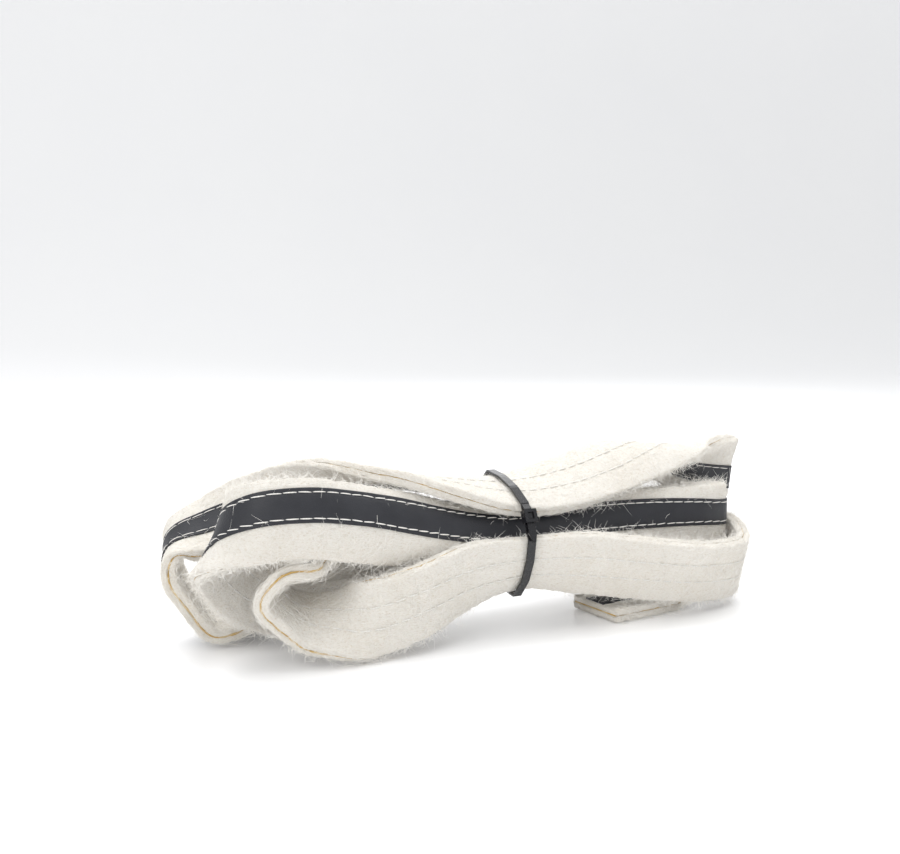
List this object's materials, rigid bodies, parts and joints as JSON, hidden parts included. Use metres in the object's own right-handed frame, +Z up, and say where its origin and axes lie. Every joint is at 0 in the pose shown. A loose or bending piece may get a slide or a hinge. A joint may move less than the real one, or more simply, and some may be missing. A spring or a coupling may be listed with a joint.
{
  "type": "martial arts belt",
  "caption": "Long thick felt belt with a sewn centre stripe, folded into a hank of strands and cinched round the middle with a nylon cable tie.",
  "frame": {"origin": "under the middle of the hank's box, on the surface it lies on", "axes": "+X along the hank toward the raw end that stands up, +Z up, -Y toward the side with the tie's head"},
  "size_m": [0.3698, 0.11, 0.1046],
  "materials": {
    "felt_face_layer": "fuzzy",
    "felt_back_layer": "fuzzy",
    "adhesive_core": "dull",
    "centre_stripe": "satin",
    "upper_needle_thread": "matt",
    "lower_needle_thread": "matt",
    "upper_bobbin_thread": "matt",
    "lower_bobbin_thread": "matt",
    "cable_tie": "satin",
    "tie_pawl": "satin"
  },
  "bodies": {
    "hank": {"felt_face_layer": "felt_face_layer", "felt_back_layer": "felt_back_layer", "adhesive_core": "adhesive_core", "centre_stripe": "centre_stripe", "upper_needle_thread": "upper_needle_thread", "lower_needle_thread": "lower_needle_thread", "upper_bobbin_thread": "upper_bobbin_thread", "lower_bobbin_thread": "lower_bobbin_thread", "cable_tie": "cable_tie"},
    "pawl": {"tie_pawl": "tie_pawl"}
  },
  "joints": [
    {"name": "pawl_lift", "type": "hinge", "parent": "hank", "child": "pawl", "pos_m": [0.00593, -0.04084, 0.07262], "axis": [-1, 0, 0], "range_deg": [0, 12], "stiffness_Nm_per_rad": 0.002}
  ]
}
